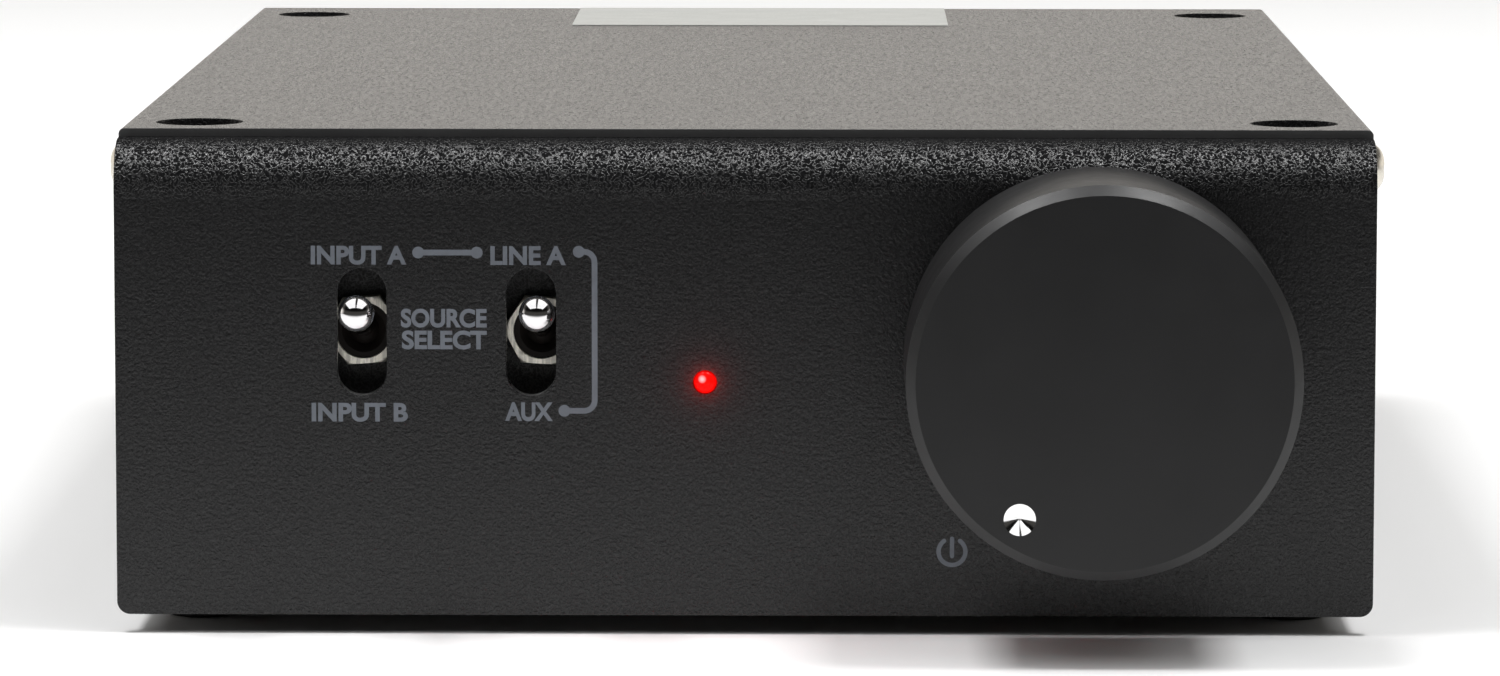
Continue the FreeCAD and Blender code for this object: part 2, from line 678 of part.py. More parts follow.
def power_inlet():
    x, z = inlet_x, inlet_z
    body = block(x - 4.7, x + 4.7, rear_inner - 12.0, rear_inner, board_top, z + 4.7)
    body = body.fuse(rod_y(4.0, x, z, rear_inner, case_depth + 0.4)).removeSplitter()
    body = body.cut(rod_y(2.85, x, z, case_depth - 9.0, case_depth + 2))
    keep("power_inlet", body)
    pin = rod_y(1.05, x, z, case_depth - 9.0, case_depth - 0.4)
    keep("inlet_pin", pin.makeFillet(0.4, [e for e in pin.Edges if e.BoundBox.YMin > case_depth - 1]))


def digital_socket():
    x, z = digital_x, digital_z
    front, back = rear_inner - 15.0, case_depth + 0.3
    shell = block(x - 6.0, x + 6.0, front, back, z - 5.4, z + 5.4)
    opening = block(x - 4.25, x + 4.25, front + 6.0, back + 1, z - 3.9, z + 3.9)
    top_edges = [e for e in opening.Edges if along_y(e) and e.BoundBox.ZMin > z]
    opening = opening.makeChamfer(1.5, top_edges)
    keep("digital_socket", shell.cut(opening))
    keep("digital_tongue", block(x - 2.8, x + 2.8, front + 6.0, back - 1.5, z - 1.6, z + 1.6))


# ---- parts on the main board --------------------------------------------------------------------
def board_parts():
    cans = []
    for x, y in ((22.0, 150.0), (38.0, 150.0), (22.0, 132.0), (38.0, 132.0)):
        can = rod_z(6.3, x, y, board_top, board_top + 22.0)
        cans.append(can.makeFillet(0.6, [e for e in can.Edges if e.BoundBox.ZMin > board_top + 1]))
    keep("smoothing_capacitors", *cans)
    films = []
    for x in (-14.0, -4.0):
        for y in (60.0, 72.0):
            film = block(x - 4, x + 4, y - 2.5, y + 2.5, board_top, board_top + 8.0)
            films.append(film.makeFillet(0.5, film.Edges))
    keep("film_capacitors", *films)
    sink = block(-44, -20, 100, 104, board_top, board_top + 26)
    for fin in range(7):
        x = -44 + 3.75 * fin
        sink = sink.fuse(block(x, x + 1.5, 104, 116, board_top, board_top + 26))
    keep("heat_sink", sink.removeSplitter())
    transistors = []
    for x in (-38.0, -26.0):
        transistors.append(block(x - 5, x + 5, 95.5, 100, board_top + 3, board_top + 18))
    keep("output_transistors", *transistors)
    relays = [block(x - 5, x + 5, 160, 175, board_top, board_top + 10) for x in (-10.0, 5.0)]
    keep("input_relays", *relays)
    chips = []
    for x, y, wide, deep in ((30.0, 90.0, 14.0, 14.0), (10.0, 88.0, 5.0, 6.0), (-12.0, 90.0, 5.0, 6.0),
                             (12.0, 112.0, 9.0, 12.0)):
        chips.append(block(x - wide / 2, x + wide / 2, y - deep / 2, y + deep / 2,
                           board_top, board_top + 1.6))
    keep("signal_chips", *chips)
    can = block(28.0, 39.0, 106.0, 111.0, board_top, board_top + 3.5)
    keep("crystal_can", can.makeFillet(1.2, [e for e in can.Edges if e.BoundBox.ZLength > 3]))


front_panel()
chassis_tray()
clinch_nuts()
top_cover()
rear_panel()
rubber_feet()
standoffs()
main_board()
control_bracket()
input_switches()
knob()
potentiometer()
control_board()
indicator()
ribbon()
rear_sockets()
headphone_jack()
power_inlet()
digital_socket()
board_parts()
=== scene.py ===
"""Looks for the desktop headphone amplifier: camera, light, floor, materials and fine outer pieces.

Metres, in the part's frame: +Z up, the front panel faces -Y, +X to the right of a user who faces the knob.
"""
import bpy
import bmesh
import json
import math
from mathutils import Euler, Matrix, Vector


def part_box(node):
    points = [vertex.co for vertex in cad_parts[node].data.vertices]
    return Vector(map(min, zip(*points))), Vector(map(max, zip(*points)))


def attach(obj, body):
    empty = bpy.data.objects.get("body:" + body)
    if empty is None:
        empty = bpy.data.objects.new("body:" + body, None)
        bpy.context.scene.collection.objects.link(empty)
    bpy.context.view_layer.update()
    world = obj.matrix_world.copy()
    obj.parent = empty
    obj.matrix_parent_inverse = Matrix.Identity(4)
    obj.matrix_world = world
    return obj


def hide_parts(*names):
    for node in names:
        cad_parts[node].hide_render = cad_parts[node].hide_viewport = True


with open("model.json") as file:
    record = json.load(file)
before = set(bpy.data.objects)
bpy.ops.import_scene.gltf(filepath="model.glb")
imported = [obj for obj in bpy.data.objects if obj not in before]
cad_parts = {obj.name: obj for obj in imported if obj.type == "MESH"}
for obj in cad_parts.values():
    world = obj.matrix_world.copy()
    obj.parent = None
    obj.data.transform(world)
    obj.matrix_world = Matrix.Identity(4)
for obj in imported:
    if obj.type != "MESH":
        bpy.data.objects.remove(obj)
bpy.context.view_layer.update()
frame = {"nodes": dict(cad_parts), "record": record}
nodes = frame["nodes"]
MM = 0.001

# ---- where things are ---------------------------------------------------------------------------
face_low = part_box("front_panel")[0]
face_y = face_low.y                      # outside of the front panel
face_z = face_low.z                      # its lower edge
case_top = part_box("top_cover")[1].z
rear_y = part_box("rear_panel")[1].y
cover_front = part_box("top_cover")[0].y
knob_low, knob_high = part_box("volume_knob")
knob_centre = (knob_low + knob_high) / 2


def on_face(x, z, out=0.0):
    """Point on the front panel, in mm from its middle and its lower edge; out is towards the user."""
    return Vector((x * MM, face_y - out * MM, face_z + z * MM))


# ---- camera -------------------------------------------------------------------------------------
CAMERA_PLACE = (8.72, 113.33, 742.4)     # mm right of the face's middle, above its lower edge, and out
CAMERA_TURN = (math.pi / 2 - 0.1126, -0.0009, 0.0111)
FOCAL_WIDTHS = 4.76                      # focal length over the picture's width


def add_camera():
    data = bpy.data.cameras.new("camera")
    data.sensor_width = 36.0
    data.lens = FOCAL_WIDTHS * data.sensor_width
    data.clip_start = 0.01
    data.clip_end = 50
    camera = bpy.data.objects.new("camera", data)
    camera.location = on_face(*CAMERA_PLACE)
    camera.rotation_euler = Euler(CAMERA_TURN, "XYZ")
    bpy.context.scene.collection.objects.link(camera)
    bpy.context.scene.camera = camera


# ---- node materials -----------------------------------------------------------------------------
class Nodes:
    """A small writer of shader nodes for one material."""

    def __init__(self, name):
        self.material = bpy.data.materials.new(name)
        self.material.use_nodes = True
        self.tree = self.material.node_tree
        self.bsdf = self.tree.nodes["Principled BSDF"]
        self.place = self.add("ShaderNodeTexCoord").outputs["Object"]

    def add(self, kind, **settings):
        node = self.tree.nodes.new(kind)
        for key, value in settings.items():
            setattr(node, key, value)
        return node

    def link(self, source, target):
        self.tree.links.new(source, target)

    def mapped(self, scale):
        node = self.add("ShaderNodeMapping")
        node.inputs["Scale"].default_value = scale
        self.link(self.place, node.inputs["Vector"])
        return node.outputs["Vector"]

    def noise(self, size_mm, detail=3.0, rough=0.55, place=None):
        """Noise whose blobs are about size_mm wide."""
        node = self.add("ShaderNodeTexNoise")
        node.inputs["Scale"].default_value = 1.0 / (size_mm * MM)
        node.inputs["Detail"].default_value = detail
        node.inputs["Roughness"].default_value = rough
        self.link(place if place is not None else self.place, node.inputs["Vector"])
        return node.outputs["Fac"]

    def spread(self, source, low, high, start=0.3, end=0.7):
        node = self.add("ShaderNodeMapRange")
        node.inputs["From Min"].default_value = start
        node.inputs["From Max"].default_value = end
        node.inputs["To Min"].default_value = low
        node.inputs["To Max"].default_value = high
        self.link(source, node.inputs["Value"])
        return node.outputs["Result"]

    def math(self, operation, a, b=None):
        node = self.add("ShaderNodeMath", operation=operation)
        for socket, value in zip(node.inputs, (a, b)):
            if value is None:
                continue
            if isinstance(value, (int, float)):
                socket.default_value = value
            else:
                self.link(value, socket)
        return node.outputs["Value"]

    def blend(self, factor, first, second):
        node = self.add("ShaderNodeMix", data_type="RGBA")
        self.link(factor, node.inputs["Factor"])
        node.inputs[6].default_value = (*first, 1)
        node.inputs[7].default_value = (*second, 1)
        return node.outputs[2]

    def bump(self, height, strength, distance_mm, under=None):
        node = self.add("ShaderNodeBump")
        node.inputs["Strength"].default_value = strength
        node.inputs["Distance"].default_value = distance_mm * MM
        self.link(height, node.inputs["Height"])
        if under is not None:
            self.link(under, node.inputs["Normal"])
        return node.outputs["Normal"]

    def surface(self, colour=None, roughness=None, normal=None, **constants):
        for name, value in (("Base Color", colour), ("Roughness", roughness), ("Normal", normal)):
            if value is not None:
                self.link(value, self.bsdf.inputs[name])
        for name, value in constants.items():
            self.bsdf.inputs[name.replace("_", " ").title().replace("Ior", "IOR")].default_value = value
        return self.material


def toned(colour, amount):
    return tuple(max(0.0, c * (1 + amount)) for c in colour)


def plain_finish(name, colour, roughness, tone=0.12, blotch_mm=6.0, grain_mm=0.4, grain=0.15, depth_mm=0.02,
                 rough_spread=0.08, **constants):
    """Moulded, painted or cast surface: tone drifts, roughness varies, and a fine grain lifts it."""
    n = Nodes(name)
    drift = n.noise(blotch_mm, detail=4)
    colours = n.blend(n.spread(drift, 0, 1), toned(colour, -tone), toned(colour, tone))
    rough = n.spread(n.noise(blotch_mm * 0.3, detail=5), roughness - rough_spread, roughness + rough_spread)
    normal = n.bump(n.noise(grain_mm, detail=4), grain, depth_mm)
    return n.surface(colours, rough, normal, **constants)


def powder_coat(name, colour, roughness, sheen=0.40, sparkle=0.95, mottle=0.01, calm_below=None):
    """Fine-textured powder coat: a bumped grain of worm-like ridges, with painted glints on the
    ridges and painted shade in the pits, set through the specular level and the base colour.

    sheen is the specular level midway and sparkle its swing from pit to ridge. Below the height
    calm_below the texture is much fainter than above it, so the painted glints gather on the bend,
    where the overhead light catches the coat.
    """
    n = Nodes(name)
    broad = n.noise(0.38, detail=3.0, rough=0.6)
    level = n.noise(0.4, detail=1.5, rough=0.4)
    ridges = n.spread(n.math("ABSOLUTE", n.math("SUBTRACT", level, 0.5)), 1, 0, 0.0, 0.09)
    height = n.math("ADD", n.math("MULTIPLY", broad, 0.8), n.math("MULTIPLY", ridges, 0.12))
    # Painted glints and shade: the specular level rises on the ridges and falls in the pits between them.
    painted_glint_swing = n.math("MULTIPLY", n.math("SUBTRACT", ridges, 0.45), sparkle)
    # Below calm_below the painted glints and the bump fade, so the softly lit face stays calmer than the
    # bend.
    if calm_below is not None:
        split = n.add("ShaderNodeSeparateXYZ")
        n.link(n.place, split.inputs["Vector"])
        calm = n.spread(split.outputs["Z"], 0.0, 1.0, calm_below - 1.5 * MM, calm_below + 0.5 * MM)
        painted_glint_swing = n.math("MULTIPLY", painted_glint_swing, n.spread(calm, 0.1, 1.0, 0, 1))
        height = n.math("MULTIPLY", height, n.spread(calm, 0.42, 1.0, 0, 1))
    # Base colour follows the grain's height, darker in the pits and lighter on the bumps: painted shade in
    # the pits.
    colours = n.blend(n.spread(broad, 0, 1, 0.35, 0.65), toned(colour, -0.2), toned(colour, 0.2))
    drift = n.noise(0.45, detail=2, place=n.mapped(scale=(1, 0.2, 1)))
    rough = n.math("ADD", n.spread(drift, roughness - mottle, roughness + mottle),
                   n.spread(broad, -0.03, 0.03, 0.35, 0.65))
    n.link(n.math("ADD", painted_glint_swing, sheen), n.bsdf.inputs["Specular IOR Level"])
    return n.surface(colours, rough, n.bump(height, 1.0, 0.17))


def turned_metal(name, colour, roughness, axis, metallic=1.0, pitch_mm=0.12, strength=0.12, tone=0.1,
                 **constants):
    """Lathe-turned surface: fine rings about a line along Y through the point axis."""
    n = Nodes(name)
    split = n.add("ShaderNodeSeparateXYZ")
    n.link(n.place, split.inputs["Vector"])
    dx = n.math("SUBTRACT", split.outputs["X"], axis.x)
    dz = n.math("SUBTRACT", split.outputs["Z"], axis.z)
    radius = n.math("SQRT", n.math("ADD", n.math("MULTIPLY", dx, dx), n.math("MULTIPLY", dz, dz)))
    along = n.math("ADD", radius, split.outputs["Y"])
    rings = n.add("ShaderNodeTexNoise", noise_dimensions="1D")
    rings.inputs["Scale"].default_value = 1.0 / (pitch_mm * MM)
    rings.inputs["Detail"].default_value = 3.0
    n.link(along, rings.inputs["W"])
    rings = rings.outputs["Fac"]
    drift = n.noise(8.0, detail=4)
    colours = n.blend(n.spread(drift, 0, 1), toned(colour, -tone), toned(colour, tone))
    rough = n.math("ADD", n.spread(rings, roughness - 0.05, roughness + 0.05),
                   n.spread(n.noise(3.0, detail=4), -0.03, 0.03))
    normal = n.bump(rings, strength, 0.01)
    return n.surface(colours, rough, normal, metallic=metallic, **constants)


def plated(name, colour, roughness, scratch=0.06, tone=0.08, grain_mm=0.25, depth_mm=0.01, worn=False):
    """Plated metal: faint scratches and an uneven polish; worn plating changes tone along its scratches."""
    n = Nodes(name)
    streaks = n.noise(grain_mm, detail=5, place=n.mapped(scale=(1, 1, 0.12)))
    drift = n.noise(1.6, detail=4)
    patch = n.spread(streaks, 0, 1, 0.42, 0.58) if worn else n.spread(drift, 0, 1)
    colours = n.blend(patch, toned(colour, -tone), toned(colour, tone))
    rough = n.math("ADD", n.spread(streaks, roughness * 0.8, roughness * 1.25), n.spread(drift, -0.02, 0.03))
    normal = n.bump(streaks, scratch, depth_mm)
    return n.surface(colours, rough, normal, metallic=1.0)


def laminate():
    """Circuit board: solder mask with buried tracks, pads and a weave under it."""
    n = Nodes("board_laminate")
    cells = n.add("ShaderNodeTexVoronoi", feature="DISTANCE_TO_EDGE", distance="MANHATTAN")
    cells.inputs["Scale"].default_value = 1.0 / (3.2 * MM)
    n.link(n.mapped(scale=(1, 1, 0)), cells.inputs["Vector"])
    tracks = n.spread(cells.outputs["Distance"], 1, 0, 0.05, 0.09)
    colours = n.blend(tracks, (0.004, 0.035, 0.016), (0.012, 0.075, 0.03))
    weave = n.noise(0.5, detail=3)
    normal = n.bump(n.math("ADD", tracks, n.math("MULTIPLY", weave, 0.3)), 0.4, 0.03)
    return n.surface(colours, n.spread(weave, 0.28, 0.42), normal)


def lit_lens():
    """Clear red light pipe lit from behind, glowing less towards its rim; a pale pinkish spot above and left
    of the middle is a painted highlight, the glint of the overhead light on the dome.
    """
    n = Nodes("red_lens")
    low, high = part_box("light_pipe")
    # Painted highlight: the pale spot above and left of the middle stands for the overhead light's glint on
    # the dome and is mixed into the glow.
    spot = (low + high) / 2 + Vector((-0.3 * MM, 0, 0.35 * MM))
    split = n.add("ShaderNodeSeparateXYZ")
    n.link(n.place, split.inputs["Vector"])
    dx = n.math("SUBTRACT", split.outputs["X"], spot.x)
    dz = n.math("SUBTRACT", split.outputs["Z"], spot.z)
    away = n.math("SQRT", n.math("ADD", n.math("MULTIPLY", dx, dx), n.math("MULTIPLY", dz, dz)))
    painted_highlight_spot = n.spread(away, 1, 0, 0.12 * MM, 0.46 * MM)
    cloud = n.noise(0.9, detail=2)
    ex = n.math("SUBTRACT", split.outputs["X"], (low.x + high.x) / 2)
    ez = n.math("SUBTRACT", split.outputs["Z"], (low.z + high.z) / 2)
    edge = n.math("SQRT", n.math("ADD", n.math("MULTIPLY", ex, ex), n.math("MULTIPLY", ez, ez)))
    glow = n.add("ShaderNodeMix", data_type="RGBA")
    n.link(painted_highlight_spot, glow.inputs["Factor"])
    n.link(n.blend(n.spread(cloud, 0, 1), (0.86, 0.0, 0.0), (1.0, 0.003, 0.002)), glow.inputs[6])
    glow.inputs[7].default_value = (1.0, 0.62, 0.62, 1)
    n.link(glow.outputs[2], n.bsdf.inputs["Emission Color"])
    n.link(n.math("MULTIPLY", n.spread(cloud, 0.88, 1.0), n.spread(edge, 1.0, 0.5, 0.85 * MM, 1.22 * MM)),
           n.bsdf.inputs["Emission Strength"])
    colours = n.blend(n.spread(cloud, 0, 1), (0.16, 0.002, 0.001), (0.22, 0.004, 0.002))
    return n.surface(colours, n.spread(cloud, 0.2, 0.3), None, specular_ior_level=0.06)


def paper():
    n = Nodes("label_paper")
    fibres = n.noise(0.35, detail=6, place=n.mapped(scale=(1, 0.4, 1)))
    colours = n.blend(n.spread(fibres, 0, 1), (0.40, 0.405, 0.385), (0.45, 0.455, 0.435))
    return n.surface(colours, n.spread(n.noise(4.0), 0.42, 0.56), n.bump(fibres, 0.12, 0.01))


knob_axis = Vector((knob_centre.x, 0, knob_centre.z))

BLACK = (0.0098, 0.0098, 0.0103)
finishes = {
    "textured_black_front": powder_coat("textured_black_front", BLACK, 0.26, calm_below=case_top - 5.5 * MM),
    "textured_black_cover": powder_coat("textured_black_cover", BLACK, 0.25, mottle=0.03, sparkle=0.5),
    "textured_black_case": powder_coat("textured_black_case", BLACK, 0.28, sparkle=0.4),
    "matt_black_steel": powder_coat("matt_black_steel", (0.034, 0.034, 0.034), 0.4, sparkle=0.6),
    "black_anodised": turned_metal("black_anodised", (0.0142, 0.0142, 0.0147), 0.40, knob_axis, metallic=0.0,
                                   specular_ior_level=0.34),
    "bright_chrome": plated("bright_chrome", (0.74, 0.73, 0.74), 0.05, scratch=0.01, tone=0.02),
    "nickel": plated("nickel", (0.80, 0.77, 0.69), 0.48, scratch=0.9, tone=0.25, grain_mm=0.36, depth_mm=0.06,
                     worn=True),
    "zinc_steel": plated("zinc_steel", (0.60, 0.60, 0.58), 0.34, scratch=0.15),
    "screw_steel": plated("screw_steel", (0.66, 0.63, 0.56), 0.28, scratch=0.15),
    "black_screw": plated("black_screw", (0.035, 0.035, 0.036), 0.38, scratch=0.2),
    "gold": plated("gold", (0.83, 0.60, 0.24), 0.18),
    "tin_pins": plated("tin_pins", (0.72, 0.72, 0.72), 0.3),
    "black_plastic": plain_finish("black_plastic", (0.018, 0.018, 0.018), 0.48),
    "dark_bushing": plain_finish("dark_bushing", (0.010, 0.008, 0.007), 0.55, grain_mm=0.2,
                                 specular_ior_level=0.12),
    "switch_plastic": plain_finish("switch_plastic", (0.01, 0.03, 0.10), 0.4),
    "red_lens": lit_lens(),
    "lamp_epoxy": plain_finish("lamp_epoxy", (0.5, 0.02, 0.01), 0.15, grain=0.03),
    "rubber_black": plain_finish("rubber_black", (0.022, 0.022, 0.022), 0.75, grain_mm=0.25, grain=0.35),
    "label_paper": paper(),
    "board_laminate": laminate(),
    "ribbon_grey": plain_finish("ribbon_grey", (0.36, 0.36, 0.37), 0.45),
    "white_plastic": plain_finish("white_plastic", (0.72, 0.72, 0.69), 0.4, tone=0.05),
    "red_plastic": plain_finish("red_plastic", (0.5, 0.015, 0.015), 0.4),
    "orange_plastic": plain_finish("orange_plastic", (0.72, 0.2, 0.02), 0.4),
    "capacitor_sleeve": plain_finish("capacitor_sleeve", (0.012, 0.016, 0.04), 0.25),
    "film_red": plain_finish("film_red", (0.35, 0.02, 0.015), 0.28),
    "relay_plastic": plain_finish("relay_plastic", (0.75, 0.75, 0.71), 0.45, tone=0.05),
    "chip_epoxy": plain_finish("chip_epoxy", (0.016, 0.016, 0.016), 0.5, grain_mm=0.15),
    "heat_sink_black": turned_metal("heat_sink_black", (0.02, 0.02, 0.021), 0.45, Vector((0, 0, 0)),
                                    metallic=0.2),
}
finishes["cut_edge"] = plain_finish("cut_edge", (0.065, 0.065, 0.066), 0.4, grain_mm=0.3, grain=0.5,
                                    depth_mm=0.05)
# Painted light: the slot walls of the front panel carry the same black coat but are painted lighter and
# speckled, standing for the overhead light catching the coat's grain on the walls.
finishes["slot_wall_painted_light"] = plain_finish("slot_wall_painted_light", (0.10, 0.10, 0.10), 0.35, tone=0.5, blotch_mm=0.4,
                                     grain_mm=0.3, grain=0.6, depth_mm=0.08)
finishes["polished"] = plated("polished_cut", (0.86, 0.86, 0.86), 0.08, scratch=0.03, tone=0.02)
ink = plain_finish("legend_ink", (0.145, 0.16, 0.187), 0.55, tone=0.08, blotch_mm=1.2, grain_mm=0.2,
                   grain=0.2)
slots = {row["node"]: row["material_slot"] for row in frame["record"]["subparts"]}


def dress_cad_nodes():
    for name, obj in nodes.items():
        for index in range(len(obj.material_slots)):
            obj.material_slots[index].material = finishes[slots[name]]


# ---- mesh helpers -------------------------------------------------------------------------------
def add_mesh(name, bm, material, body, sharp_degrees=35, smooth=True):
    bmesh.ops.recalc_face_normals(bm, faces=bm.faces)
    mesh = bpy.data.meshes.new(name)
    bm.to_mesh(mesh)
    bm.free()
    for polygon in mesh.polygons:
        polygon.use_smooth = smooth
    if smooth:
        mesh.set_sharp_from_angle(angle=math.radians(sharp_degrees))
    mesh.materials.append(material)
    obj = bpy.data.objects.new(name, mesh)
    bpy.context.scene.collection.objects.link(obj)
    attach(obj, body)
    return obj


def edged(node, body, width_mm, segments=2, angle=28, lining=None):
    """The CAD node's own shape with its sharp edges rolled over; it stands for the node.

    lining is (slot, test): faces whose middle passes the test take that slot's finish instead.
    """
    bm = bmesh.new()
    bm.from_mesh(nodes[node].data)
    bmesh.ops.remove_doubles(bm, verts=bm.verts, dist=1e-6)
    bmesh.ops.dissolve_limit(bm, angle_limit=math.radians(0.4), verts=bm.verts, edges=bm.edges)
    sharp = [e for e in bm.edges if len(e.link_faces) == 2 and e.calc_face_angle(0) > math.radians(angle)]
    bmesh.ops.bevel(bm, geom=sharp, offset=width_mm * MM, offset_type="OFFSET", segments=segments,
                    profile=0.5, affect="EDGES", clamp_overlap=True)
    slot = slots[node]
    for face in bm.faces:
        face.material_index = 1 if lining and lining[1](face.calc_center_median()) else 0
    obj = add_mesh(node + ".fine", bm, finishes[slot], body, sharp_degrees=50)
    if lining:
        obj.data.materials.append(finishes[lining[0]])
    even = obj.modifiers.new("even", "WEIGHTED_NORMAL")
    even.keep_sharp = True
    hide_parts(node)
    return obj


def lathed(name, profile, start, direction, material, body, turns=72, sharp_degrees=40):
    """Turn (distance, radius) points, in mm, about the line from start along direction."""
    bm = bmesh.new()
    frame_turn = Vector((0, 0, 1)).rotation_difference(direction).to_matrix()
    rings = []
    for distance, radius in profile:
        if radius <= 0:
            rings.append([bm.verts.new(start + frame_turn @ Vector((0, 0, distance * MM)))])
            continue
        ring = []
        for step in range(turns):
            angle = 2 * math.pi * step / turns
            spoke = Vector((radius * math.cos(angle), radius * math.sin(angle), distance)) * MM
            ring.append(bm.verts.new(start + frame_turn @ spoke))
        rings.append(ring)
    for low, high in zip(rings, rings[1:]):
        for step in range(turns):
            after = (step + 1) % turns
            if len(low) == 1:
                bm.faces.new((low[0], high[step], high[after]))
            elif len(high) == 1:
                bm.faces.new((low[step], low[after], high[0]))
            else:
                bm.faces.new((low[step], low[after], high[after], high[step]))
    return add_mesh(name, bm, material, body, sharp_degrees=sharp_degrees)


# ---- fine outer pieces --------------------------------------------------------------------------
LEVER_REACH = 14.2                       # mm, pivot to the centre of the ball
LEVER_BALL = 1.88                        # mm, the ball's radius
LEVER_TILT = math.radians(12.5)          # above level, at rest
PIVOT_BALL = 1.75                        # mm, radius of the ball in the bushing
POINTER_RADIUS = 16.3                    # mm, the dimple's distance from the knob's axis
POINTER_ANGLE = math.radians(31.7)       # left of straight down, at rest


def ball_points(centre, radius, start, end, steps):
    """Points of a ball's outline, from one angle to the other; 0 is its far end."""
    angles = [math.radians(start + (end - start) * i / steps) for i in range(steps + 1)]
    return [(centre + radius * math.cos(a), max(0.0, radius * math.sin(a))) for a in angles]


def levers():
    for row in frame["record"]["behaviour"]["joints"]:
        if not row["name"].startswith("input_toggle"):
            continue
        side = row["name"].rsplit("_", 1)[1]
        node = "toggle_lever_" + side
        pivot = Vector(row["pos_m"])
        direction = Vector((0, -math.cos(LEVER_TILT), math.sin(LEVER_TILT)))
        ball = ball_points(LEVER_REACH, LEVER_BALL, 0, 112, 40)
        ball[0] = (ball[0][0], 0.0)
        stick = ball + [(LEVER_REACH - 0.9, 1.6), (LEVER_REACH - 2.2, 1.56), (4.2, 1.16), (3.9, 1.12),
                        (3.4, 1.02), (3.2, 0.0)]
        body = "input_lever_" + side
        piece = lathed("lever_" + side, stick, pivot, direction, finishes["bright_chrome"], body)
        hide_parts(node)
        # Painted shade: the lever's pivot ball and the foot of its stem take the near-black bushing finish,
        # though the lever is chrome, so the inside of the bushing stays dark.
        shaded_pivot = [(3.6, 0.0), (3.6, 0.98), (2.2, 0.95)] + ball_points(0, PIVOT_BALL, 36, 144, 24)
        shaded_pivot += [(-1.7, 0.9), (-4.2, 0.7), (-4.2, 0.0)]
        lathed("lever_pivot_" + side, shaded_pivot, pivot, direction, finishes["dark_bushing"], body)


def in_pointer(point):
    """Whether a point of the knob lies on the wall of its dimple."""
    spoke = Vector((-math.sin(POINTER_ANGLE), 0, -math.cos(POINTER_ANGLE)))
    spot = knob_centre + spoke * POINTER_RADIUS * MM
    away = math.hypot(point.x - spot.x, point.z - spot.z)
    return away < 1.62 * MM and knob_low.y + 0.03 * MM < point.y < knob_low.y + 3 * MM


def in_toggle_slot(point):
    """Whether a point of the front panel lies on the wall of a toggle's slot."""
    if not 0.3 * MM < point.y - face_y < 1.3 * MM:
        return False
    for side in ("left", "right"):
        low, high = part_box("hex_nut_" + side)
        middle = (low + high) / 2
        if abs(point.x - middle.x) < 3 * MM and abs(point.z - middle.z) < 7 * MM:
            return True
    return False


def on_cover_edge(point):
    """Whether a point of the cover lies on its front edge, where the coat is thin."""
    return point.y < cover_front + 0.04 * MM


def outer_pieces():
    edged("front_panel", "case", 0.12, lining=("slot_wall_painted_light", in_toggle_slot))
    edged("top_cover", "case", 0.12, lining=("cut_edge", on_cover_edge))
    edged("rear_panel", "case", 0.1)
    edged("volume_knob", "volume_knob", 0.12, segments=3, lining=("polished", in_pointer))
    edged("chassis_tray", "case", 0.08)
    for node in ("hex_nut_left", "hex_nut_right", "jack_nut", "cover_screws", "rear_screws",
                 "bracket_screws"):
        edged(node, "case", 0.05)
    for node in ("headphone_jack", "digital_socket", "power_inlet", "coax_barrel", "line_in_barrels"):
        edged(node, "case", 0.07)
    levers()


# ---- legends ------------------------------------------------------------------------------------
INK_MM = 0.015


def printed(name, outline_sets):
    """Thin raised ink on the front panel; each outline is a closed list of (x, z) in mm."""
    bm = bmesh.new()
    for outline in outline_sets:
        ring = [bm.verts.new(on_face(x, z, INK_MM)) for x, z in outline]
        face = bm.faces.new(ring)
        grown = bmesh.ops.extrude_face_region(bm, geom=[face])
        moved = [v for v in grown["geom"] if isinstance(v, bmesh.types.BMVert)]
        bmesh.ops.translate(bm, verts=moved, vec=(0, 2 * INK_MM * MM, 0))
    bmesh.ops.triangulate(bm, faces=[f for f in bm.faces if len(f.verts) > 4])
    return add_mesh(name, bm, ink, "case", smooth=False)


def arc(cx, cz, radius, start, end, steps):
    angles = [math.radians(start + (end - start) * i / steps) for i in range(steps + 1)]
    return [(cx + radius * math.cos(a), cz + radius * math.sin(a)) for a in angles]


def lollipop_line(x0, x1, z, width, dot):
    """Level line with a round dot at each end."""
    half = width / 2
    open_angle = math.degrees(math.asin(half / dot))
    return (arc(x1, z, dot, -180 + open_angle, 180 - open_angle, 32)
            + arc(x0, z, dot, open_angle, 360 - open_angle, 32))


def bracket_line(x_dot_high, z_high, x_edge, z_low, x_dot_low, width, dot, corner):
    """From a dot, right, down and left again to another dot, with rounded corners."""
    half = width / 2
    gap = math.degrees(math.asin(half / dot))
    outer = corner + half
    inner = corner - half
    cx = x_edge - corner
    return (arc(x_dot_high, z_high, dot, gap, 360 - gap, 32)
            + arc(cx, z_high - corner, inner, 90, 0, 8)
            + arc(cx, z_low + corner, inner, 0, -90, 8)
            + arc(x_dot_low, z_low, dot, gap, 360 - gap, 32)
            + arc(cx, z_low + corner, outer, -90, 0, 10)
            + arc(cx, z_high - corner, outer, 0, 90, 10))


def power_symbol(cx, cz, outer, width, gap_degrees):
    """Broken ring and upright bar."""
    inner = outer - width
    middle = (outer + inner) / 2
    cap = width / 2
    start = 90 + gap_degrees
    end = 450 - gap_degrees
    a = math.radians(start)
    b = math.radians(end)
    ring = arc(cx, cz, outer, start, end, 60)
    ring += arc(cx + middle * math.cos(b), cz + middle * math.sin(b), cap, end, end + 180, 8)[1:-1]
    ring += arc(cx, cz, inner, end, start, 60)
    ring += arc(cx + middle * math.cos(a), cz + middle * math.sin(a), cap, start + 180, start + 360, 8)[1:-1]
    bar = arc(cx, cz + 1.6 - cap, cap, 0, 180, 8) + arc(cx, cz - 0.7 + cap, cap, 180, 360, 8)
    return [ring, bar]


